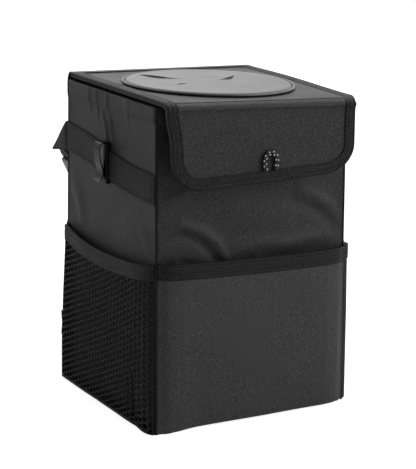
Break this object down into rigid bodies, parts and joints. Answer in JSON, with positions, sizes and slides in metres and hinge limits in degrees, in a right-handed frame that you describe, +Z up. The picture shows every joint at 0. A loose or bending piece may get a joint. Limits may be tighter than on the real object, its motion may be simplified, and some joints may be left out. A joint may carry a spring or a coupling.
{
  "type": "car trash bin",
  "caption": "Stiffened cloth car bin with a hinged lid, slit disc, closing flap, front and net pockets, side hooks and a buckled strap.",
  "frame": {"origin": "middle of the underside of the base, on the floor", "axes": "+X right as seen from the front, +Y to the back, +Z up"},
  "size_m": [0.2006, 0.2268, 0.2766],
  "materials": {
    "shell_cloth": "black oxford cloth with a dull sheen",
    "edge_tape": "black woven binding tape",
    "net": "black knitted net",
    "webbing": "black ribbed webbing",
    "lining": "dark grey waterproof film",
    "stiffener": "plain plastic board",
    "disc_sheet": "grey satin rubber sheet",
    "hard_plastic": "black moulded plastic",
    "closure": "black hook and loop strip",
    "cord": "black cord with pale flecks"
  },
  "bodies": {
    "bin": {"front_panel": "shell_cloth", "back_panel": "shell_cloth", "left_panel": "shell_cloth", "right_panel": "shell_cloth", "base_panel": "shell_cloth", "rim_hem": "shell_cloth", "front_pocket": "shell_cloth", "hinge_tape": "shell_cloth", "front_pocket_binding": "edge_tape", "left_mesh_binding": "edge_tape", "right_mesh_binding": "edge_tape", "side_tag": "edge_tape", "left_mesh_pocket": "net", "right_mesh_pocket": "net", "left_strap": "webbing", "right_strap": "webbing", "liner": "lining", "front_board": "stiffener", "back_board": "stiffener", "left_board": "stiffener", "right_board": "stiffener", "base_board": "stiffener", "left_hook": "hard_plastic", "right_hook": "hard_plastic", "buckle_female": "hard_plastic", "loop_strip": "closure"},
    "lid": {"lid_cover": "shell_cloth", "lid_board": "stiffener", "lid_lining": "lining", "lid_binding_left": "edge_tape", "lid_binding_right": "edge_tape", "slit_disc": "disc_sheet"},
    "flap": {"flap_cover": "shell_cloth", "flap_board": "stiffener", "flap_lining": "lining", "flap_binding": "edge_tape", "hook_strip": "closure", "pull_loop": "cord"},
    "buckle": {"buckle_male": "hard_plastic"}
  },
  "joints": [
    {"name": "lid_hinge", "type": "hinge", "parent": "bin", "child": "lid", "pos_m": [0, 0.0864, 0.2702], "axis": [-1, 0, 0], "range_deg": [0, 225]},
    {"name": "flap_hinge", "type": "hinge", "parent": "lid", "child": "flap", "pos_m": [0, -0.105, 0.273], "axis": [-1, 0, 0], "range_deg": [-12, 225]},
    {"name": "buckle_release", "type": "slide", "parent": "bin", "child": "buckle", "axis": [0.4226, 0, -0.9063], "range_m": [0, 0.026]}
  ]
}
